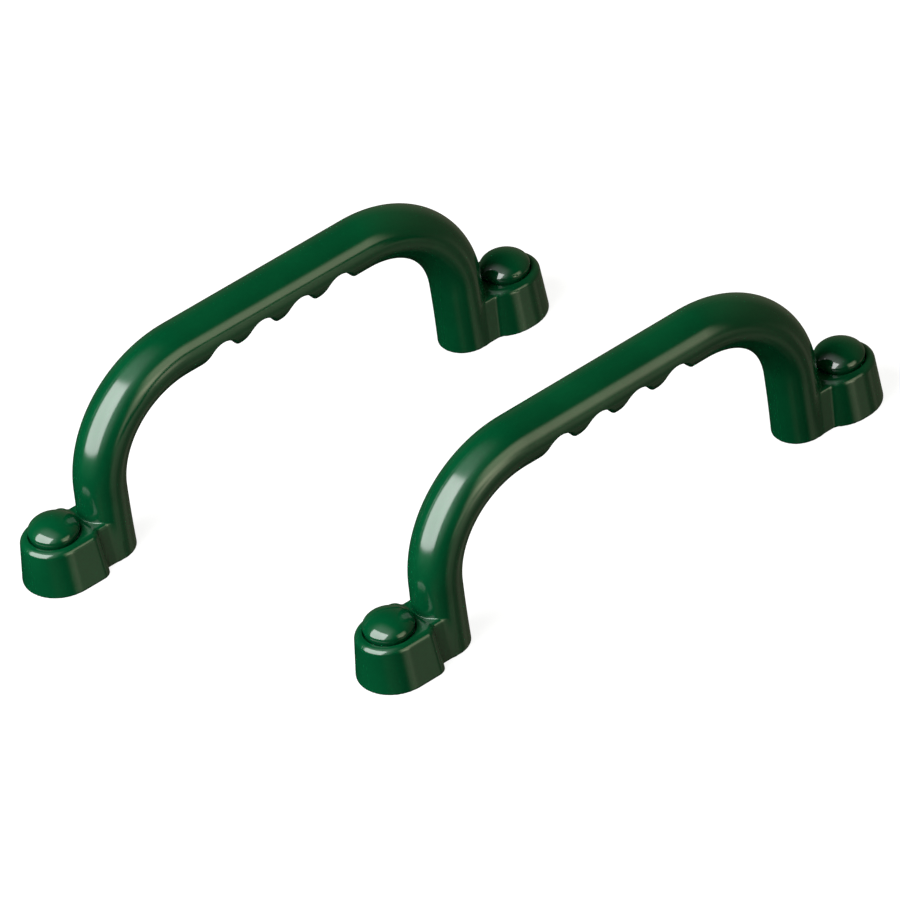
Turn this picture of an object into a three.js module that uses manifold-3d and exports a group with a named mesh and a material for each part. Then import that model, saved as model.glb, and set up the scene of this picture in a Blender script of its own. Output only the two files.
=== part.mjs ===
// A pair of moulded plastic grab handles for a child's climbing frame.
// Each handle is one bent bar with a screw foot at both ends and four finger grooves under the grip,
// and each foot carries a press-fit domed cap that hides its screw. Millimetres, +Z up, +X along the bars.

import * as THREE from 'three';
import { mergeVertices } from 'three/addons/utils/BufferGeometryUtils.js';
import Module from 'manifold-3d';

const wasm = await Module();
wasm.setup();

// ---- Driving dimensions -------------------------------------------------------------------------

const HOLE_SPACING = 220;        // screw hole to screw hole along one handle
const GRIP_HEIGHT = 70;          // height of the grip's centreline above the mounting surface
const GRIP_RADIUS = 10.6;        // bar radius along the grip
const LEG_RADIUS = 10.2;         // bar radius at the top of a leg
const FOOT_RADIUS = 10.8;        // bar radius where a leg meets the mounting surface
const LEG_X = 87.3;              // leg centre at the mounting surface, from the handle's middle
const LEG_LEAN = THREE.MathUtils.degToRad(1.6);   // a leg leans inwards going up
const BEND_RADIUS = 43;          // centreline radius of the two bends
const BAR_SIDES = 24;
const BAR_STEPS = 48;

const LUG_HEIGHT = 20;
const LUG_RADIUS = 13.6;         // round outer end of the lug
const LUG_RIM = 2.4;             // rounded rim around the lug's top
const LUG_BASE_SCALE = 1.1;      // the lug's sides widen towards the base
const LUG_TOP_SCALE_Y = 0.92;    // and draw in across the handle towards the top
const LEFT_LUG = { reach: 13, corner: 4.2 };              // straight sides, then a tight inner corner
const RIGHT_LUG = { reach: 16.1, corner: LUG_RADIUS };    // fully round towards the leg as well
const WEB_HEIGHT = 19;           // web between lug and leg
const WEB_TOP_HALF_WIDTH = 9.3;
const WEB_BASE_HALF_WIDTH = 10.6;
const WEB_EDGE = 1.4;

const RECESS_RADIUS = 10;        // shallow seat for the cap's rim
const RECESS_DEPTH = 2;
const COUNTERBORE_RADIUS = 6.9;  // room for the screw head
const COUNTERBORE_FLOOR = 9;
const SCREW_HOLE_RADIUS = 3.3;

const GROOVE_COUNT = 4;
const GROOVE_PITCH = 18.8;
const GROOVE_DEPTH = 9.6;        // from the bar's underside up to the top of a groove
const GROOVE_TIP_RADIUS = 6.3;
const GROOVE_FLANK = THREE.MathUtils.degToRad(58);  // slope of the flanks from horizontal
const CREST_RADIUS = 1.6;        // rounding of the ridges between the grooves

const CAP_RADIUS = 10.1;         // at its widest, just above the lug's top
const CAP_FOOT_RADIUS = 9.1;     // at its rim, down in the recess
const CAP_BELLY = 1.5;           // height of the widest part over the lug's top
const CAP_DOME = 5.6;
const CAP_WALL = 1.6;
const CAP_LIFT = 0.3;            // clearance under the cap's rim
const PLUG_RADIUS = 6.6;         // snap ring that grips the counterbore
const PLUG_WALL = 1.3;
const PLUG_LENGTH = 6;
const PLUG_SLOT = 2;
const CAP_SEGMENTS = 28;

const PAIR_OFFSET_X = 52;        // the two handles stand side by side, staggered along X
const PAIR_OFFSET_Y = -138.5;

// ---- Solids by boolean ---------------------------------------------------------------------------

function toSolid(geometry) {
  const bare = geometry.clone();
  bare.deleteAttribute('normal');
  bare.deleteAttribute('uv');
  const merged = mergeVertices(bare, 1e-4);
  const index = merged.index.array;
  const triangles = [];
  for (let i = 0; i < index.length; i += 3) {
    const [a, b, c] = [index[i], index[i + 1], index[i + 2]];
    if (a !== b && b !== c && c !== a) {
      triangles.push(a, b, c);
    }
  }
  return new wasm.Manifold(new wasm.Mesh({
    numProp: 3,
    vertProperties: new Float32Array(merged.attributes.position.array),
    triVerts: new Uint32Array(triangles),
  }));
}

function toGeometry(solid) {
  const mesh = solid.getMesh();
  const geometry = new THREE.BufferGeometry();
  geometry.setAttribute('position', new THREE.BufferAttribute(new Float32Array(mesh.vertProperties), 3));
  geometry.setIndex(new THREE.BufferAttribute(new Uint32Array(mesh.triVerts), 1));
  geometry.computeVertexNormals();
  return geometry;
}

function uprightCylinder(radius, zLow, zHigh, segments) {
  const geometry = new THREE.CylinderGeometry(radius, radius, zHigh - zLow, segments);
  geometry.rotateX(Math.PI / 2);
  geometry.translate(0, 0, (zLow + zHigh) / 2);
  return geometry;
}

// ---- Centreline of the bent bar ------------------------------------------------------------------

const BEND_TURN = Math.PI / 2 - LEG_LEAN;
const LEG_LENGTH = (GRIP_HEIGHT - BEND_RADIUS * (1 - Math.cos(BEND_TURN))) / Math.cos(LEG_LEAN);
const LEG_TOP_X = LEG_X - LEG_LENGTH * Math.sin(LEG_LEAN);
const GRIP_HALF = LEG_TOP_X - BEND_RADIUS * Math.sin(BEND_TURN);
const BEND_CENTRE_Z = GRIP_HEIGHT - BEND_RADIUS;
const BEND_LENGTH = BEND_RADIUS * BEND_TURN;
const LEG_OVERRUN = 4;           // the bar starts below the mounting surface and is trimmed flat
const HALF_LENGTH = GRIP_HALF + BEND_LENGTH + LEG_LENGTH + LEG_OVERRUN;

class BarCentreline extends THREE.Curve {
  getPoint(t, target = new THREE.Vector3()) {
    const along = (2 * t - 1) * HALF_LENGTH;
    const side = Math.sign(along) || 1;
    const s = Math.abs(along);
    if (s < GRIP_HALF) {
      return target.set(along, 0, GRIP_HEIGHT);
    }
    if (s < GRIP_HALF + BEND_LENGTH) {
      const angle = (s - GRIP_HALF) / BEND_RADIUS;
      const x = GRIP_HALF + BEND_RADIUS * Math.sin(angle);
      return target.set(side * x, 0, BEND_CENTRE_Z + BEND_RADIUS * Math.cos(angle));
    }
    const down = s - GRIP_HALF - BEND_LENGTH;
    const x = LEG_TOP_X + down * Math.sin(LEG_LEAN);
    return target.set(side * x, 0, LEG_LENGTH * Math.cos(LEG_LEAN) - down * Math.cos(LEG_LEAN));
  }
}

// Nearest centreline point to a point of the bar, and how far down from the grip it lies (0 to 1).
function nearestOnCentreline(point) {
  const side = Math.sign(point.x) || 1;
  const x = Math.abs(point.x);
  if (x <= GRIP_HALF) {
    return { centre: new THREE.Vector3(point.x, 0, GRIP_HEIGHT), bend: 0, leg: 0 };
  }
  const angle = Math.atan2(x - GRIP_HALF, point.z - BEND_CENTRE_Z);
  if (angle <= BEND_TURN) {
    const cx = GRIP_HALF + BEND_RADIUS * Math.sin(angle);
    const cz = BEND_CENTRE_Z + BEND_RADIUS * Math.cos(angle);
    return { centre: new THREE.Vector3(side * cx, 0, cz), bend: angle / BEND_TURN, leg: 0 };
  }
  const topZ = LEG_LENGTH * Math.cos(LEG_LEAN);
  const down = (x - LEG_TOP_X) * Math.sin(LEG_LEAN) + (topZ - point.z) * Math.cos(LEG_LEAN);
  const cx = LEG_TOP_X + down * Math.sin(LEG_LEAN);
  const cz = topZ - down * Math.cos(LEG_LEAN);
  return { centre: new THREE.Vector3(side * cx, 0, cz), bend: 1, leg: down / LEG_LENGTH };
}

// The bar thins a little from grip to leg and flares again towards the foot.
function barRadius(bend, leg) {
  const thinned = THREE.MathUtils.lerp(GRIP_RADIUS, LEG_RADIUS, bend);
  return thinned + (FOOT_RADIUS - LEG_RADIUS) * leg * leg;
}

function barGeometry() {
  const section = new THREE.Shape();
  section.absarc(0, 0, GRIP_RADIUS, 0, 2 * Math.PI);
  const geometry = new THREE.ExtrudeGeometry(section, {
    curveSegments: BAR_SIDES / 2,
    steps: BAR_STEPS,
    extrudePath: new BarCentreline(),
    bevelEnabled: false,
  });
  const position = geometry.attributes.position;
  const point = new THREE.Vector3();
  for (let i = 0; i < position.count; i += 1) {
    point.fromBufferAttribute(position, i);
    const { centre, bend, leg } = nearestOnCentreline(point);
    point.sub(centre).multiplyScalar(barRadius(bend, leg) / GRIP_RADIUS).add(centre);
    position.setXYZ(i, point.x, point.y, point.z);
  }
  return geometry;
}

// ---- Screw foot, made at the +X end ---------------------------------------------------------------

// Lug: round outer end, sides that run in towards the leg and turn a corner there, rounded rim.
function lugGeometry({ reach, corner }) {
  const cornerX = corner - reach;
  const cornerY = LUG_RADIUS - corner;
  const shape = new THREE.Shape();
  shape.moveTo(cornerX, -LUG_RADIUS);
  shape.lineTo(0, -LUG_RADIUS);
  shape.absarc(0, 0, LUG_RADIUS, -Math.PI / 2, Math.PI / 2, false);
  shape.lineTo(cornerX, LUG_RADIUS);
  shape.absarc(cornerX, cornerY, corner, Math.PI / 2, Math.PI, false);
  if (cornerY > 0) {
    shape.lineTo(-reach, -cornerY);
  }
  shape.absarc(cornerX, -cornerY, corner, Math.PI, 1.5 * Math.PI, false);
  const geometry = new THREE.ExtrudeGeometry(shape, {
    curveSegments: 5,
    depth: LUG_HEIGHT,
    bevelEnabled: true,
    bevelThickness: LUG_RIM,
    bevelSize: LUG_RIM,
    bevelOffset: -LUG_RIM,
    bevelSegments: 2,
  });
  geometry.translate(0, 0, -LUG_RIM);
  const position = geometry.attributes.position;
  for (let i = 0; i < position.count; i += 1) {
    const z = position.getZ(i);
    const scaleX = THREE.MathUtils.lerp(LUG_BASE_SCALE, 1, z / LUG_HEIGHT);
    const scaleY = THREE.MathUtils.lerp(LUG_BASE_SCALE, LUG_TOP_SCALE_Y, z / LUG_HEIGHT);
    position.setXYZ(i, position.getX(i) * scaleX, position.getY(i) * scaleY, z);
  }
  geometry.translate(HOLE_SPACING / 2, 0, 0);
  return geometry;
}

// Web: tapered block with rounded top edges that ties the lug to the leg.
function webGeometry() {
  const below = -LEG_OVERRUN;
  const slope = (WEB_BASE_HALF_WIDTH - WEB_TOP_HALF_WIDTH) / WEB_HEIGHT;
  const low = WEB_BASE_HALF_WIDTH - slope * below;
  const shoulder = WEB_TOP_HALF_WIDTH + slope * WEB_EDGE;
  const flat = WEB_TOP_HALF_WIDTH - WEB_EDGE;
  const shape = new THREE.Shape();
  shape.moveTo(-low, below);
  shape.lineTo(low, below);
  shape.lineTo(shoulder, WEB_HEIGHT - WEB_EDGE);
  shape.quadraticCurveTo(WEB_TOP_HALF_WIDTH, WEB_HEIGHT, flat, WEB_HEIGHT);
  shape.lineTo(-flat, WEB_HEIGHT);
  shape.quadraticCurveTo(-WEB_TOP_HALF_WIDTH, WEB_HEIGHT, -shoulder, WEB_HEIGHT - WEB_EDGE);
  const length = HOLE_SPACING / 2 - LEFT_LUG.reach + LEFT_LUG.corner - LEG_X;
  const geometry = new THREE.ExtrudeGeometry(shape, { curveSegments: 2, depth: length, bevelEnabled: false });
  geometry.rotateX(Math.PI / 2);
  geometry.rotateZ(Math.PI / 2);
  geometry.translate(LEG_X, 0, 0);
  return geometry;
}

// Recess, counterbore and screw hole under one cap.
function screwPocketSolid() {
  const recess = toSolid(uprightCylinder(RECESS_RADIUS, LUG_HEIGHT - RECESS_DEPTH, LUG_HEIGHT + 4, 32));
  const counterbore = toSolid(uprightCylinder(COUNTERBORE_RADIUS, COUNTERBORE_FLOOR, LUG_HEIGHT, 20));
  const hole = toSolid(uprightCylinder(SCREW_HOLE_RADIUS, -LEG_OVERRUN, LUG_HEIGHT, 16));
  return recess.add(counterbore).add(hole).translate([HOLE_SPACING / 2, 0, 0]);
}

// ---- Finger grooves --------------------------------------------------------------------------------

// Wavy cutter seen from the side: rounded groove tops, straight flanks, rounded ridges between them.
function grooveCutterGeometry() {
  const bottom = GRIP_HEIGHT - GRIP_RADIUS;
  const tipCentre = bottom + GROOVE_DEPTH - GROOVE_TIP_RADIUS;
  const half = GROOVE_PITCH / 2;
  const run = GROOVE_TIP_RADIUS * Math.sin(GROOVE_FLANK);
  const rise = GROOVE_TIP_RADIUS * Math.cos(GROOVE_FLANK);
  const valleyZ = tipCentre + rise - (half - run) * Math.tan(GROOVE_FLANK);
  const crestCentre = valleyZ + CREST_RADIUS / Math.cos(GROOVE_FLANK);
  const first = -half * (GROOVE_COUNT - 1);
  const below = bottom - GRIP_RADIUS;
  const mouth = run + (tipCentre + rise - below) / Math.tan(GROOVE_FLANK);
  const shape = new THREE.Shape();
  shape.moveTo(first - mouth, below);
  shape.lineTo(first - run, tipCentre + rise);
  for (let i = 0; i < GROOVE_COUNT; i += 1) {
    const x = first + i * GROOVE_PITCH;
    if (i > 0) {
      const crestFrom = 1.5 * Math.PI - GROOVE_FLANK;
      const crestTo = 1.5 * Math.PI + GROOVE_FLANK;
      shape.absarc(x - half, crestCentre, CREST_RADIUS, crestFrom, crestTo, false);
    }
    const tipFrom = Math.PI / 2 + GROOVE_FLANK;
    const tipTo = Math.PI / 2 - GROOVE_FLANK;
    shape.absarc(x, tipCentre, GROOVE_TIP_RADIUS, tipFrom, tipTo, true);
  }
  shape.lineTo(mouth - first, below);
  const width = 4 * GRIP_RADIUS;
  const geometry = new THREE.ExtrudeGeometry(shape, { curveSegments: 3, depth: width, bevelEnabled: false });
  geometry.rotateX(Math.PI / 2);
  geometry.translate(0, width / 2, 0);
  return geometry;
}

// ---- Whole pieces ------------------------------------------------------------------------------------

function handleGeometry() {
  let solid = toSolid(barGeometry());
  const web = toSolid(webGeometry());
  const pocket = screwPocketSolid();
  for (const [turn, end] of [[0, RIGHT_LUG], [180, LEFT_LUG]]) {
    const lug = toSolid(lugGeometry(end));
    solid = solid.add(web.rotate([0, 0, turn])).add(lug.rotate([0, 0, turn]));
    solid = solid.subtract(pocket.rotate([0, 0, turn]));
  }
  solid = solid.subtract(toSolid(grooveCutterGeometry()));
  const above = new THREE.BoxGeometry(2 * HOLE_SPACING, HOLE_SPACING, 2 * GRIP_HEIGHT);
  above.translate(0, 0, GRIP_HEIGHT);
  return toGeometry(solid.intersect(toSolid(above)));
}

// Cap: hollow flattened dome that draws in below its widest part, with a slotted snap ring underneath.
function capGeometry() {
  const rim = LUG_HEIGHT - RECESS_DEPTH + CAP_LIFT;
  const spring = LUG_HEIGHT + CAP_BELLY;
  const plugInner = PLUG_RADIUS - PLUG_WALL;
  const ceiling = spring + CAP_DOME - CAP_WALL;
  const profile = [new THREE.Vector2(0, ceiling)];
  const insideRise = ceiling - spring;
  const insideSteps = 3;
  for (let i = 1; i <= insideSteps; i += 1) {
    const angle = (Math.PI / 2) * (1 - i / insideSteps);
    profile.push(new THREE.Vector2(plugInner * Math.cos(angle), spring + insideRise * Math.sin(angle)));
  }
  profile.push(new THREE.Vector2(plugInner, rim - PLUG_LENGTH));
  profile.push(new THREE.Vector2(PLUG_RADIUS, rim - PLUG_LENGTH));
  profile.push(new THREE.Vector2(PLUG_RADIUS, rim));
  profile.push(new THREE.Vector2(CAP_FOOT_RADIUS, rim));
  const outsideSteps = 7;
  for (let i = 0; i <= outsideSteps; i += 1) {
    const angle = (Math.PI / 2) * (i / outsideSteps);
    const radius = i === outsideSteps ? 0 : CAP_RADIUS * Math.cos(angle);
    profile.push(new THREE.Vector2(radius, spring + CAP_DOME * Math.sin(angle)));
  }
  const shell = new THREE.LatheGeometry(profile, CAP_SEGMENTS);
  shell.rotateX(Math.PI / 2);
  let solid = toSolid(shell);
  for (const turn of [45, 135]) {
    const slot = new THREE.BoxGeometry(4 * PLUG_RADIUS, PLUG_SLOT, PLUG_LENGTH);
    slot.translate(0, 0, rim - PLUG_LENGTH / 2 - 1);
    solid = solid.subtract(toSolid(slot).rotate([0, 0, turn]));
  }
  return toGeometry(solid);
}

// ---- Materials and scene ---------------------------------------------------------------------------

function greenPlastic() {
  return new THREE.MeshStandardMaterial({ color: 0x00542f, roughness: 0.22, metalness: 0 });
}

function capPlastic() {
  return new THREE.MeshStandardMaterial({ color: 0x004f2c, roughness: 0.18, metalness: 0 });
}

function handleGroup(letter, handle, cap) {
  const group = new THREE.Group();
  const bar = new THREE.Mesh(handle, greenPlastic());
  bar.name = `handle_${letter}`;
  group.add(bar);
  for (const [end, side] of [['left', -1], ['right', 1]]) {
    const dome = new THREE.Mesh(cap, capPlastic());
    dome.name = `cap_${letter}_${end}`;
    dome.position.x = side * HOLE_SPACING / 2;
    group.add(dome);
  }
  return group;
}

const handle = handleGeometry();
const cap = capGeometry();
const pair = new THREE.Group();
for (const [letter, half] of [['a', -0.5], ['b', 0.5]]) {
  const group = handleGroup(letter, handle, cap);
  group.position.set(half * PAIR_OFFSET_X, half * PAIR_OFFSET_Y, 0);
  pair.add(group);
}

export default pair;
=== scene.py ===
"""Looks of a pair of moulded plastic grab handles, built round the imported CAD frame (metres, +Z up).

Each handle and each domed screw cap is meshed from a distance function, so that every edge and joint has
its moulded round. Shapes are worked out in millimetres about a piece's own middle and placed by the frame.
"""

import math

import bpy
import numpy as np
from mathutils import Matrix, Vector


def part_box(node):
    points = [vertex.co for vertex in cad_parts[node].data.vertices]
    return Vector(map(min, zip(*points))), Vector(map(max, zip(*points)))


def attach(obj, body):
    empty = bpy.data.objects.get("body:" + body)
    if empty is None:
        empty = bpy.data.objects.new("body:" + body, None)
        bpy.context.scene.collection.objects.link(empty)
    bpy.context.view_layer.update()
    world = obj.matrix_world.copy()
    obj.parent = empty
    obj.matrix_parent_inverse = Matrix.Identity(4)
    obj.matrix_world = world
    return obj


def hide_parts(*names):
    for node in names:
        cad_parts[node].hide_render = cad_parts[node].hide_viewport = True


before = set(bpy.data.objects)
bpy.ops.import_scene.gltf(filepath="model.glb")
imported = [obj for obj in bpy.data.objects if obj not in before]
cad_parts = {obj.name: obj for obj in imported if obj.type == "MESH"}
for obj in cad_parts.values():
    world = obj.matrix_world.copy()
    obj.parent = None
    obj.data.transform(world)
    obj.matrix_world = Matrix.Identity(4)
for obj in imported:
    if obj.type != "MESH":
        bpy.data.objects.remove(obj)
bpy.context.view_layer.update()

MM = 0.001
HANDLES = ("a", "b")
ENDS = ("left", "right")


def middle_mm(node):
    """The middle of a CAD node's box, in millimetres."""
    low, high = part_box(node)
    return np.array((low + high) / 2) / MM


# ---- Sizes of one handle, in millimetres: X along it, Z up, its middle at the origin ----

GRIP_RADIUS = 10.6
LEG_RADIUS = 10.2
FOOT_RADIUS = 10.8
HOLE_X = (middle_mm("cap_a_right") - middle_mm("cap_a_left"))[0] / 2
GRIP_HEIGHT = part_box("handle_a")[1].z / MM - GRIP_RADIUS
LEG_X = 87.3
LEG_LEAN = math.radians(1.6)
BEND_RADIUS = 43.0

LUG_HEIGHT = 20.0
LUG_RADIUS = 13.6
LUG_RIM = 2.4
LUG_BASE_SCALE = 1.1
LUG_TOP_SCALE_Y = 0.92
LEFT_REACH = 13.0
LEFT_CORNER = 4.2
RIGHT_REACH = 16.1
RIGHT_CORNER = LUG_RADIUS
WEB_HEIGHT = 19.0
WEB_TOP_HALF_WIDTH = 9.3
WEB_BASE_HALF_WIDTH = 10.6
WEB_EDGE = 1.4

RECESS_RADIUS = 10.0
RECESS_FLOOR = 18.0
COUNTERBORE_RADIUS = 6.9
COUNTERBORE_FLOOR = 9.0
SCREW_HOLE_RADIUS = 3.3

GROOVE_COUNT = 4
GROOVE_PITCH = 18.8
GROOVE_DEPTH = 9.6
GROOVE_TIP_RADIUS = 6.3
GROOVE_FLANK = math.radians(58.0)
CREST_RADIUS = 1.6

# Rounds where two surfaces meet
WEB_TO_LEG = 0.6
LUG_TO_WEB = 0.8
RECESS_LIP = 0.5
GROOVE_EDGE = 0.9
SMALL_EDGE = 0.5

# Cap, about its own axis, Z from the mounting surface
CAP_RADIUS = 10.1
CAP_FOOT_RADIUS = 9.1
CAP_RIM = 18.3
CAP_BELLY = 21.5
CAP_DOME = 5.6
CAP_EDGE = 0.6
CAP_WALL = 1.6
PLUG_RADIUS = 6.6
PLUG_WALL = 1.3
PLUG_LENGTH = 6.0
PLUG_SLOT = 2.0
SLOT_BELOW_RIM = 1.0
CAP_RIM_EDGE = 0.4
PLUG_EDGE = 0.3
SLOT_EDGE = 0.2

# Meshing
HANDLE_CELL = 0.6
CAP_CELL = 0.3
RELAX_ROUNDS = 4
LONGEST_MOVE = 0.5
LEAST_SLOPE_SQUARED = 0.05
TINY = 1e-9

BEND_TURN = math.pi / 2 - LEG_LEAN
LEG_LENGTH = (GRIP_HEIGHT - BEND_RADIUS * (1 - math.cos(BEND_TURN))) / math.cos(LEG_LEAN)
LEG_TOP_X = LEG_X - LEG_LENGTH * math.sin(LEG_LEAN)
LEG_TOP_Z = LEG_LENGTH * math.cos(LEG_LEAN)
GRIP_HALF = LEG_TOP_X - BEND_RADIUS * math.sin(BEND_TURN)
BEND_CENTRE_Z = GRIP_HEIGHT - BEND_RADIUS


# ---- Joining two solids given by distance, with a round of a given radius ----

def round_and(a, b, radius):
    corner = np.hypot(np.maximum(a + radius, 0), np.maximum(b + radius, 0))
    return np.minimum(np.maximum(a, b), -radius) + corner


def round_or(a, b, radius):
    corner = np.hypot(np.maximum(radius - a, 0), np.maximum(radius - b, 0))
    return np.maximum(np.minimum(a, b), radius) - corner


# ---- Distance to each part of a handle; x and y are taken positive, as only the lugs differ by end ----

def bar_distance(x, y, z):
    """The bent round bar, a little thinner down the legs and flared again at the foot."""
    along = np.clip(x, 0, GRIP_HALF)
    grip = np.hypot(np.hypot(x - along, z - GRIP_HEIGHT), y) - GRIP_RADIUS
    angle = np.clip(np.arctan2(x - GRIP_HALF, z - BEND_CENTRE_Z), 0, BEND_TURN)
    bend_x = GRIP_HALF + BEND_RADIUS * np.sin(angle)
    bend_z = BEND_CENTRE_Z + BEND_RADIUS * np.cos(angle)
    thinned = GRIP_RADIUS + (LEG_RADIUS - GRIP_RADIUS) * angle / BEND_TURN
    bend = np.hypot(np.hypot(x - bend_x, z - bend_z), y) - thinned
    down = (x - LEG_TOP_X) * math.sin(LEG_LEAN) + (LEG_TOP_Z - z) * math.cos(LEG_LEAN)
    down = np.clip(down, 0, LEG_LENGTH + FOOT_RADIUS)
    leg_x = LEG_TOP_X + down * math.sin(LEG_LEAN)
    leg_z = LEG_TOP_Z - down * math.cos(LEG_LEAN)
    flared = LEG_RADIUS + (FOOT_RADIUS - LEG_RADIUS) * (down / LEG_LENGTH) ** 2
    leg = np.hypot(np.hypot(x - leg_x, z - leg_z), y) - flared
    return np.minimum(np.minimum(grip, bend), leg)


def lug_distance(x, y, z, left):
    """The screw lug: round outer end, rounded rim, wider at its base; the left one has straight sides."""
    rise = z / LUG_HEIGHT
    scale_x = LUG_BASE_SCALE + (1 - LUG_BASE_SCALE) * rise
    scale_y = LUG_BASE_SCALE + (LUG_TOP_SCALE_Y - LUG_BASE_SCALE) * rise
    reach = np.where(left, LEFT_REACH, RIGHT_REACH)
    corner = np.where(left, LEFT_CORNER, RIGHT_CORNER)
    u = (x - HOLE_X) / scale_x
    v = y / scale_y
    inward = -u - (reach - corner)
    sideways = v - (LUG_RADIUS - corner)
    straight = np.hypot(np.maximum(inward, 0), np.maximum(sideways, 0)) - corner
    straight = straight + np.minimum(np.maximum(inward, sideways), 0)
    outline = np.where(u > 0, np.hypot(u, v) - LUG_RADIUS, straight) * np.minimum(scale_x, scale_y)
    return round_and(outline, z - LUG_HEIGHT, LUG_RIM)


def web_distance(x, y, z):
    """The tapered block that ties the lug to the leg."""
    half_width = WEB_BASE_HALF_WIDTH + (WEB_TOP_HALF_WIDTH - WEB_BASE_HALF_WIDTH) * z / WEB_HEIGHT
    profile = round_and(y - half_width, z - WEB_HEIGHT, WEB_EDGE)
    length = np.maximum(LEG_X - x, x - (HOLE_X - LEFT_REACH + LEFT_CORNER))
    return np.maximum(profile, length)


def groove_distance(x, z):
    """The wavy cut under the grip: rounded groove tops, straight flanks, rounded ridges."""
    half = GROOVE_PITCH / 2
    outer = half * (GROOVE_COUNT - 1)
    offset = np.where(x > outer, x - outer, np.abs(np.mod(x, GROOVE_PITCH) - half))
    tip_z = GRIP_HEIGHT - GRIP_RADIUS + GROOVE_DEPTH - GROOVE_TIP_RADIUS
    run = GROOVE_TIP_RADIUS * math.sin(GROOVE_FLANK)
    rise = GROOVE_TIP_RADIUS * math.cos(GROOVE_FLANK)
    crest_z = tip_z + rise - (half - run) * math.tan(GROOVE_FLANK) + CREST_RADIUS / math.cos(GROOVE_FLANK)
    to_tip = np.hypot(offset, z - tip_z) - GROOVE_TIP_RADIUS
    to_flank = (offset - run) * math.sin(GROOVE_FLANK) + (z - tip_z - rise) * math.cos(GROOVE_FLANK)
    to_crest = CREST_RADIUS - np.hypot(half - offset, z - crest_z)
    at_tip = offset * math.cos(GROOVE_FLANK) < (z - tip_z) * math.sin(GROOVE_FLANK)
    at_crest = (half - offset) * math.cos(GROOVE_FLANK) < (crest_z - z) * math.sin(GROOVE_FLANK)
    return np.where(at_tip, to_tip, np.where(at_crest & (x <= outer), to_crest, to_flank))


def handle_distance(points):
    x, y, z = np.abs(points[:, 0]), np.abs(points[:, 1]), points[:, 2]
    solid = round_or(bar_distance(x, y, z), web_distance(x, y, z), WEB_TO_LEG)
    solid = round_or(solid, lug_distance(x, y, z, points[:, 0] < 0), LUG_TO_WEB)
    radius = np.hypot(x - HOLE_X, y)
    recess = np.maximum(radius - RECESS_RADIUS, RECESS_FLOOR - z)
    counterbore = np.maximum(radius - COUNTERBORE_RADIUS, COUNTERBORE_FLOOR - z)
    solid = round_and(solid, -recess, RECESS_LIP)
    solid = round_and(solid, -np.minimum(counterbore, radius - SCREW_HOLE_RADIUS), SMALL_EDGE)
    solid = round_and(solid, -groove_distance(x, z), GROOVE_EDGE)
    return round_and(solid, -z, SMALL_EDGE)


# ---- Distance to a cap ----

def dome_distance(radius, z, half_width, height):
    """A half ellipsoid that stands on an endless cylinder, joined at the height of the cap's belly."""
    up = np.maximum(z - CAP_BELLY, 0)
    size = np.hypot(radius / half_width, up / height)
    slope = np.hypot(radius / half_width ** 2, up / height ** 2) + TINY
    return (size - 1) * size / slope


def cap_distance(points):
    """A flattened hollow dome that draws in below its belly, over a slotted snap ring."""
    x, y, z = points[:, 0], points[:, 1], points[:, 2]
    radius = np.hypot(x, y)
    dome = dome_distance(radius, z, CAP_RADIUS, CAP_DOME)
    taper = (CAP_RADIUS - CAP_FOOT_RADIUS) / (CAP_BELLY - CAP_RIM)
    side = (radius - CAP_RADIUS + (CAP_BELLY - z) * taper) / math.hypot(1, taper)
    shell = round_and(round_and(dome, side, CAP_EDGE), CAP_RIM - z, CAP_RIM_EDGE)
    plug = round_and(radius - PLUG_RADIUS, CAP_RIM - PLUG_LENGTH - z, PLUG_EDGE)
    solid = round_or(shell, np.maximum(plug, z - CAP_BELLY), PLUG_EDGE)
    cavity = dome_distance(radius, z, PLUG_RADIUS - PLUG_WALL, CAP_DOME - CAP_WALL)
    solid = round_and(solid, -cavity, PLUG_EDGE)
    for turn in (1, -1):
        across = np.abs(x + turn * y) / math.sqrt(2) - PLUG_SLOT / 2
        solid = round_and(solid, -np.maximum(across, z - CAP_RIM + SLOT_BELOW_RIM), SLOT_EDGE)
    return solid


# ---- Mesh of a distance function ----

def slope_of(distance, points, step=0.01):
    """The gradient of a distance function at some points."""
    columns = []
    for axis in range(3):
        shift = np.zeros(3)
        shift[axis] = step
        columns.append((distance(points + shift) - distance(points - shift)) / (2 * step))
    return np.stack(columns, 1)


def onto_surface(distance, points, rounds=3):
    """The points moved down the gradient until they lie on the surface."""
    for _ in range(rounds):
        slope = slope_of(distance, points)
        slope_squared = np.maximum((slope ** 2).sum(1), LEAST_SLOPE_SQUARED)
        move = slope * (distance(points) / slope_squared)[:, None]
        points = points - np.clip(move, -LONGEST_MOVE, LONGEST_MOVE)
    return points


def net_quads(inside, number):
    """Four cell numbers round each grid edge that crosses the surface, turned to face outwards."""
    quads = []
    for axis in range(3):
        inside_here = np.moveaxis(inside, [axis, (axis + 1) % 3, (axis + 2) % 3], [0, 1, 2])
        number_here = np.moveaxis(number, [axis, (axis + 1) % 3, (axis + 2) % 3], [0, 1, 2])
        low = inside_here[:-1, 1:-1, 1:-1]
        high = inside_here[1:, 1:-1, 1:-1]
        ring = np.stack([
            number_here[:, :-1, :-1],
            number_here[:, 1:, :-1],
            number_here[:, 1:, 1:],
            number_here[:, :-1, 1:],
        ], -1)
        quads.append(ring[low & ~high])
        quads.append(ring[~low & high][:, ::-1])
    return np.concatenate(quads)


def relaxed(points, quads):
    """Each point moved halfway to the mean of its neighbours."""
    total = np.zeros_like(points)
    count = np.zeros(len(points))
    for a, b in ((0, 1), (1, 2), (2, 3), (3, 0)):
        for here, there in ((a, b), (b, a)):
            for axis in range(3):
                total[:, axis] += np.bincount(quads[:, here], points[quads[:, there], axis], len(points))
            count += np.bincount(quads[:, here], minlength=len(points))
    return (points + total / count[:, None]) / 2


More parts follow.
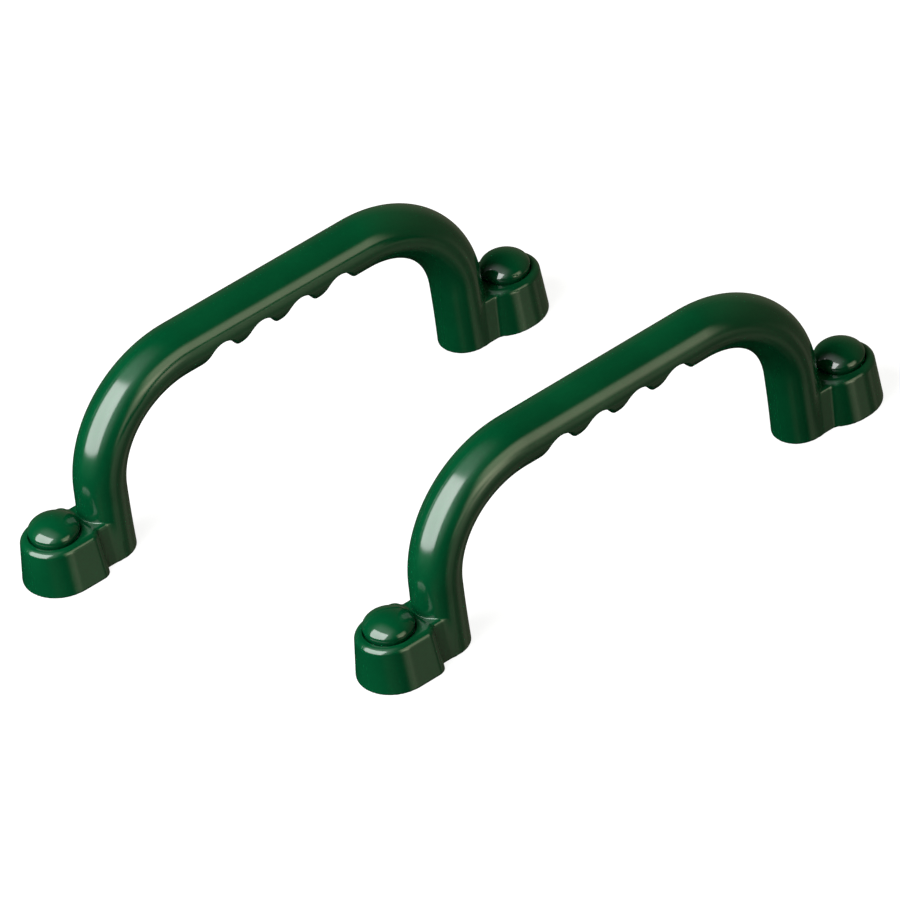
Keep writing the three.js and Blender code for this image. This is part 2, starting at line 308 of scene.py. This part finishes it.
def surface_net(distance, low, high, cell):
    """Points, outward normals and quads of a distance function's zero surface, on a grid of cells."""
    axes = [np.arange(a - 2 * cell, b + 3 * cell, cell) for a, b in zip(low, high)]
    grid = np.stack(np.meshgrid(*axes, indexing="ij"), -1)
    inside = (distance(grid.reshape(-1, 3)) < 0).reshape(grid.shape[:3])
    corners = inside.astype(int)
    for axis in range(3):
        lower = np.take(corners, range(corners.shape[axis] - 1), axis)
        upper = np.take(corners, range(1, corners.shape[axis]), axis)
        corners = lower + upper
    crossed = (corners > 0) & (corners < 8)
    number = np.full(crossed.shape, -1)
    number[crossed] = np.arange(crossed.sum())
    points = grid[:-1, :-1, :-1][crossed] + cell / 2
    quads = net_quads(inside, number)
    for _ in range(RELAX_ROUNDS):
        points = relaxed(onto_surface(distance, points), quads)
    points = onto_surface(distance, points)
    normals = slope_of(distance, points)
    normals /= np.linalg.norm(normals, axis=1, keepdims=True)
    return points, normals, quads


def placed_mesh(name, shape, place_mm):
    """A smooth mesh object of a meshed shape, moved to its place in the row's frame."""
    points, normals, quads = shape
    mesh = bpy.data.meshes.new(name)
    mesh.from_pydata(((points + place_mm) * MM).tolist(), [], quads.tolist())
    mesh.shade_smooth()
    mesh.normals_split_custom_set_from_vertices(normals.tolist())
    piece = bpy.data.objects.new(name, mesh)
    bpy.context.scene.collection.objects.link(piece)
    return piece


# ---- Node helpers ----

def add_node(tree, kind, **inputs):
    """A node with some inputs set by name: a number, a colour, or a socket to link."""
    node = tree.nodes.new(kind)
    for name, value in inputs.items():
        socket = node.inputs[name.replace("_", " ")]
        if isinstance(value, bpy.types.NodeSocket):
            tree.links.new(value, socket)
        else:
            socket.default_value = value
    return node


def maths(tree, operation, a, b=0.0):
    node = tree.nodes.new("ShaderNodeMath")
    node.operation = operation
    for socket, value in zip(node.inputs, (a, b)):
        if isinstance(value, bpy.types.NodeSocket):
            tree.links.new(value, socket)
        else:
            socket.default_value = value
    return node.outputs[0]


def between(tree, value, low, high, to_low=0.0, to_high=1.0):
    """A smooth step of a value from low to high."""
    node = add_node(tree, "ShaderNodeMapRange", Value=value)
    node.interpolation_type = "SMOOTHSTEP"
    for name, number in (("From Min", low), ("From Max", high), ("To Min", to_low), ("To Max", to_high)):
        node.inputs[name].default_value = number
    return node.outputs[0]


def noise(tree, where, scale, detail=2.0, roughness=0.5):
    node = add_node(tree, "ShaderNodeTexNoise", Vector=where, Scale=scale, Detail=detail, Roughness=roughness)
    return node.outputs["Fac"]


def mixed(tree, factor, a, b):
    node = tree.nodes.new("ShaderNodeMix")
    node.data_type = "RGBA"
    tree.links.new(factor, node.inputs["Factor"])
    for name, value in (("A", a), ("B", b)):
        socket = [s for s in node.inputs if s.name == name and s.type == "RGBA"][0]
        if isinstance(value, bpy.types.NodeSocket):
            tree.links.new(value, socket)
        else:
            socket.default_value = value
    return [s for s in node.outputs if s.type == "RGBA"][0]


def bumped(tree, height, distance, normal=None):
    """The normal bent by a height, on top of an earlier bump if there is one."""
    node = add_node(tree, "ShaderNodeBump", Height=height, Strength=1.0, Distance=distance)
    if normal:
        tree.links.new(normal, node.inputs["Normal"])
    return node.outputs[0]


# ---- Moulded plastic ----

DEEP_GREEN = (0.0005, 0.053, 0.0175, 1.0)
BRIGHT_GREEN = (0.001, 0.065, 0.0215, 1.0)
WORN_GREEN = (0.02, 0.12, 0.06, 1.0)
HANDLE_ROUGHNESS = 0.15
CAP_ROUGHNESS = 0.09

# Noise scales, per metre
CLOUD_SCALE = 38.0
FLECK_SCALE = 900.0
RUB_SCALE = 160.0
SCUFF_SCALE = 420.0
PATCH_SCALE = 55.0
WAVE_SCALE = 70.0
GRAIN_SCALE = 1600.0

# Relief, in metres
WAVE_HEIGHT = 7.0e-5
GRAIN_HEIGHT = 1.5e-6
PARTING_HEIGHT = 2.0e-5
PARTING_HALF_WIDTH = 3.5e-4

# Strengths
CLOUD_SHARE = 0.75
RUBBED_PALER = 0.5
RUBBED_DULLER = 0.12
SCUFF_DULLER = 0.14


def parting_line(tree, where, parting_y):
    """A narrow ridge where the two halves of the mould met, in the upright plane through the bar."""
    apart = tree.nodes.new("ShaderNodeSeparateXYZ")
    tree.links.new(where, apart.inputs[0])
    off_line = maths(tree, "ABSOLUTE", maths(tree, "SUBTRACT", apart.outputs["Y"], parting_y))
    return between(tree, off_line, 0.0, PARTING_HALF_WIDTH, 1.0, 0.0)


def moulded_plastic(name, roughness, parting_y=None):
    """Glossy green plastic: cloudy pigment, paler worn edges, scuffs, waves and a faint parting line."""
    material = bpy.data.materials.new(name)
    material.use_nodes = True
    tree = material.node_tree
    shader = tree.nodes["Principled BSDF"]
    where = tree.nodes.new("ShaderNodeTexCoord").outputs["Object"]

    cloud = between(tree, noise(tree, where, CLOUD_SCALE, 3.0), 0.35, 0.65)
    fleck = between(tree, noise(tree, where, FLECK_SCALE, 2.0), 0.3, 0.7)
    cloud = maths(tree, "MULTIPLY", cloud, CLOUD_SHARE)
    fleck = maths(tree, "MULTIPLY", fleck, 1 - CLOUD_SHARE)
    colour = mixed(tree, maths(tree, "ADD", cloud, fleck), DEEP_GREEN, BRIGHT_GREEN)
    edge = between(tree, tree.nodes.new("ShaderNodeNewGeometry").outputs["Pointiness"], 0.53, 0.62)
    rubbed = maths(tree, "MULTIPLY", edge, between(tree, noise(tree, where, RUB_SCALE, 4.0), 0.4, 0.7))
    colour = mixed(tree, maths(tree, "MULTIPLY", rubbed, RUBBED_PALER), colour, WORN_GREEN)
    tree.links.new(colour, shader.inputs["Base Color"])

    scuff = between(tree, noise(tree, where, SCUFF_SCALE, 5.0, 0.65), 0.55, 0.8)
    patch = between(tree, noise(tree, where, PATCH_SCALE, 2.0), 0.4, 0.65)
    dull = maths(tree, "MULTIPLY", scuff, maths(tree, "MULTIPLY", patch, SCUFF_DULLER))
    wear = maths(tree, "ADD", dull, maths(tree, "MULTIPLY", rubbed, RUBBED_DULLER))
    tree.links.new(maths(tree, "ADD", wear, roughness), shader.inputs["Roughness"])

    bump = bumped(tree, noise(tree, where, WAVE_SCALE, 1.0), WAVE_HEIGHT)
    bump = bumped(tree, noise(tree, where, GRAIN_SCALE, 2.0), GRAIN_HEIGHT, bump)
    if parting_y is not None:
        bump = bumped(tree, parting_line(tree, where, parting_y), PARTING_HEIGHT, bump)
    tree.links.new(bump, shader.inputs["Normal"])

    shader.inputs["IOR"].default_value = 1.5
    shader.inputs["Specular IOR Level"].default_value = 0.5
    return material


# ---- Pieces ----

def clothe(piece, body, node, material):
    """Gives a piece its material and body, and lets it stand for its CAD node."""
    piece.data.materials.append(material)
    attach(piece, body)
    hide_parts(node)


handle_half = np.array((HOLE_X + LUG_RADIUS * LUG_BASE_SCALE, LUG_RADIUS * LUG_BASE_SCALE, 0))
handle_top = handle_half + (0, 0, GRIP_HEIGHT + GRIP_RADIUS)
handle_shape = surface_net(handle_distance, -handle_half, handle_top, HANDLE_CELL)
cap_low = (-CAP_RADIUS, -CAP_RADIUS, CAP_RIM - PLUG_LENGTH)
cap_shape = surface_net(cap_distance, cap_low, (CAP_RADIUS, CAP_RADIUS, CAP_BELLY + CAP_DOME), CAP_CELL)

for letter in HANDLES:
    handle_node = f"handle_{letter}"
    place = middle_mm(handle_node) * (1, 1, 0)
    plastic = moulded_plastic(f"handle_plastic_{letter}", HANDLE_ROUGHNESS, place[1] * MM)
    handle = placed_mesh(f"grip_{letter}", handle_shape, place)
    clothe(handle, handle_node, handle_node, plastic)
    for end in ENDS:
        cap_node = f"cap_{letter}_{end}"
        cap = placed_mesh(f"dome_{letter}_{end}", cap_shape, middle_mm(cap_node) * (1, 1, 0))
        cap_plastic = moulded_plastic(f"cap_plastic_{letter}_{end}", CAP_ROUGHNESS)
        clothe(cap, cap_node, cap_node, cap_plastic)


# ---- Floor ----

FLOOR_SIZE = 12.0
FLOOR_GREY = (0.25, 0.25, 0.25, 1.0)
FLOOR_GLOW = 0.9


def floor_material():
    """Matt grey for bounced light, lit up for the camera, so that the floor looks white."""
    material = bpy.data.materials.new("floor_white")
    material.use_nodes = True
    tree = material.node_tree
    shader = tree.nodes["Principled BSDF"]
    shader.inputs["Base Color"].default_value = FLOOR_GREY
    shader.inputs["Roughness"].default_value = 0.9
    shader.inputs["Specular IOR Level"].default_value = 0.0
    seen = tree.nodes.new("ShaderNodeLightPath").outputs["Is Camera Ray"]
    shader.inputs["Emission Color"].default_value = (1.0, 1.0, 1.0, 1.0)
    tree.links.new(maths(tree, "MULTIPLY", seen, FLOOR_GLOW), shader.inputs["Emission Strength"])
    return material


floor_mesh = bpy.data.meshes.new("floor")
corner = FLOOR_SIZE / 2
corners = [(-corner, -corner, 0), (corner, -corner, 0), (corner, corner, 0), (-corner, corner, 0)]
floor_mesh.from_pydata(corners, [], [(0, 1, 2, 3)])
floor = bpy.data.objects.new("floor", floor_mesh)
floor_mesh.materials.append(floor_material())
bpy.context.scene.collection.objects.link(floor)
floor.visible_glossy = False


# ---- Light ----

def direction(azimuth, elevation):
    """Unit vector towards a place round the object: azimuth 0 is -Y, 90 is +X."""
    a, e = math.radians(azimuth), math.radians(elevation)
    return Vector((math.sin(a) * math.cos(e), -math.cos(a) * math.cos(e), math.sin(e)))


PURE_WHITE = (1.0, 1.0, 1.0)
WARM_WHITE = (0.97, 0.94, 0.66)
BACKDROP_GLOW = 0.8
ROOM_FILL = 0.11

# Panels seen in reflections: azimuth, elevation, width, height, half width of the soft edge, strength
WHITE_PANELS = (
    (-88, 30, 1.25, 1.12, 0.03, 10.0),   # key panel
    (-88, 60, 1.05, 0.9, 0.35, 1.2),     # soft upper end
    (-55, 30, 0.6, 1.0, 0.3, 1.3),       # soft right side
    (-80, 40, 2.4, 2.2, 0.8, 0.3),       # wash round it
)
WARM_PANELS = (
    (14, 14, 0.62, 0.58, 0.14, 3.0),     # front panel
    (9, -8, 0.4, 0.45, 0.12, 2.2),       # its lower left part
    (18, -17, 0.45, 0.6, 0.15, 0.7),     # its dimmer lower right part
    (-40, -38, 0.6, 0.4, 0.2, 0.1),      # dim ground, front left
    (48, -42, 1.0, 0.8, 0.25, 0.2),      # pale ground, front right
    (146, 0, 2.0, 1.0, 0.4, 0.08),       # far wall
)


def soft_light(name, azimuth, elevation, distance, side, watts, colour):
    """A square-on area light that lights the pieces; what they reflect of it is in the world."""
    data = bpy.data.lights.new(name, "AREA")
    data.shape = "SQUARE"
    data.size = side
    data.energy = watts
    data.color = colour
    light = bpy.data.objects.new(name, data)
    light.location = direction(azimuth, elevation) * distance
    light.rotation_mode = "QUATERNION"
    light.rotation_quaternion = direction(azimuth, elevation).to_track_quat("Z", "Y")
    bpy.context.scene.collection.objects.link(light)
    light.visible_camera = False
    light.visible_glossy = False
    return light


soft_light("key", azimuth=-92, elevation=43, distance=1.3, side=1.1, watts=32, colour=PURE_WHITE)
soft_light("fill", azimuth=75, elevation=30, distance=1.6, side=1.2, watts=4.5, colour=WARM_WHITE)


def panel(tree, view, azimuth, elevation, width, height, edge, strength):
    """Brightness along a view of a flat soft-edged panel, square on to the object at unit distance."""
    position = []
    middle = direction(azimuth, elevation)
    for axis in (middle, direction(azimuth + 90, 0), direction(azimuth, elevation + 90)):
        dot = tree.nodes.new("ShaderNodeVectorMath")
        dot.operation = "DOT_PRODUCT"
        tree.links.new(view, dot.inputs[0])
        dot.inputs[1].default_value = axis
        position.append(dot.outputs["Value"])
    ahead = maths(tree, "MAXIMUM", position[0], 0.01)
    glow = maths(tree, "MULTIPLY", maths(tree, "GREATER_THAN", position[0], 0.01), strength)
    for offset, half in ((position[1], width / 2), (position[2], height / 2)):
        off_middle = maths(tree, "ABSOLUTE", maths(tree, "DIVIDE", offset, ahead))
        glow = maths(tree, "MULTIPLY", glow, between(tree, off_middle, half - edge, half + edge, 1.0, 0.0))
    return glow


def studio_world():
    """Pale grey to the camera, a low fill for matt surfaces, and a dark studio with soft panels in gloss."""
    world = bpy.data.worlds.new("studio")
    bpy.context.scene.world = world
    world.use_nodes = True
    tree = world.node_tree
    tree.nodes.clear()
    view = tree.nodes.new("ShaderNodeTexCoord").outputs["Generated"]
    apart = tree.nodes.new("ShaderNodeSeparateXYZ")
    tree.links.new(view, apart.inputs[0])
    path = tree.nodes.new("ShaderNodeLightPath")

    key = 0.0
    for values in WHITE_PANELS:
        key = maths(tree, "ADD", key, panel(tree, view, *values))
    key = maths(tree, "MULTIPLY", path.outputs["Is Glossy Ray"], key)
    seen = maths(tree, "MULTIPLY", path.outputs["Is Camera Ray"], BACKDROP_GLOW)
    key = maths(tree, "ADD", key, seen)
    white = add_node(tree, "ShaderNodeBackground", Color=(*PURE_WHITE, 1.0), Strength=key)

    mottled = between(tree, noise(tree, view, 4.0), 0.35, 0.65, 0.4, 1.4)
    glow = between(tree, apart.outputs["X"], 0.3, 0.95, 0.005, 0.15)
    for azimuth, elevation, *values in WARM_PANELS:
        lit = panel(tree, view, azimuth, elevation, *values)
        if elevation < 0:
            lit = maths(tree, "MULTIPLY", mottled, lit)
        glow = maths(tree, "ADD", glow, lit)
    glow = maths(tree, "MULTIPLY", path.outputs["Is Glossy Ray"], glow)
    glow = maths(tree, "ADD", glow, maths(tree, "MULTIPLY", path.outputs["Is Diffuse Ray"], ROOM_FILL))
    warm = add_node(tree, "ShaderNodeBackground", Color=(*WARM_WHITE, 1.0), Strength=glow)

    both = tree.nodes.new("ShaderNodeAddShader")
    tree.links.new(white.outputs[0], both.inputs[0])
    tree.links.new(warm.outputs[0], both.inputs[1])
    output = tree.nodes.new("ShaderNodeOutputWorld")
    tree.links.new(both.outputs[0], output.inputs["Surface"])


studio_world()


# ---- Camera ----

CAMERA_AZIMUTH = -33.6
CAMERA_ELEVATION = 37.9
CAMERA_ROLL = math.radians(8.47)
CAMERA_DISTANCE = 4.25
CAMERA_LENS = 445.0
SENSOR_WIDTH = 36
CLIP_END = 50
CAMERA_AIM = Vector((0.02, 0.0293, -0.01))


def make_camera():
    back = direction(CAMERA_AZIMUTH, CAMERA_ELEVATION)
    level = (-back).cross(Vector((0, 0, 1))).normalized()
    down = (-back).cross(level)
    right = level * math.cos(CAMERA_ROLL) + down * math.sin(CAMERA_ROLL)
    up = level * math.sin(CAMERA_ROLL) - down * math.cos(CAMERA_ROLL)
    data = bpy.data.cameras.new("camera")
    data.lens = CAMERA_LENS
    data.sensor_width = SENSOR_WIDTH
    data.clip_end = CLIP_END
    camera = bpy.data.objects.new("camera", data)
    place = Matrix((right, up, back)).transposed().to_4x4()
    place.translation = CAMERA_AIM + back * CAMERA_DISTANCE
    camera.matrix_world = place
    bpy.context.scene.collection.objects.link(camera)
    bpy.context.scene.camera = camera


make_camera()
bpy.context.scene.view_settings.view_transform = "Standard"
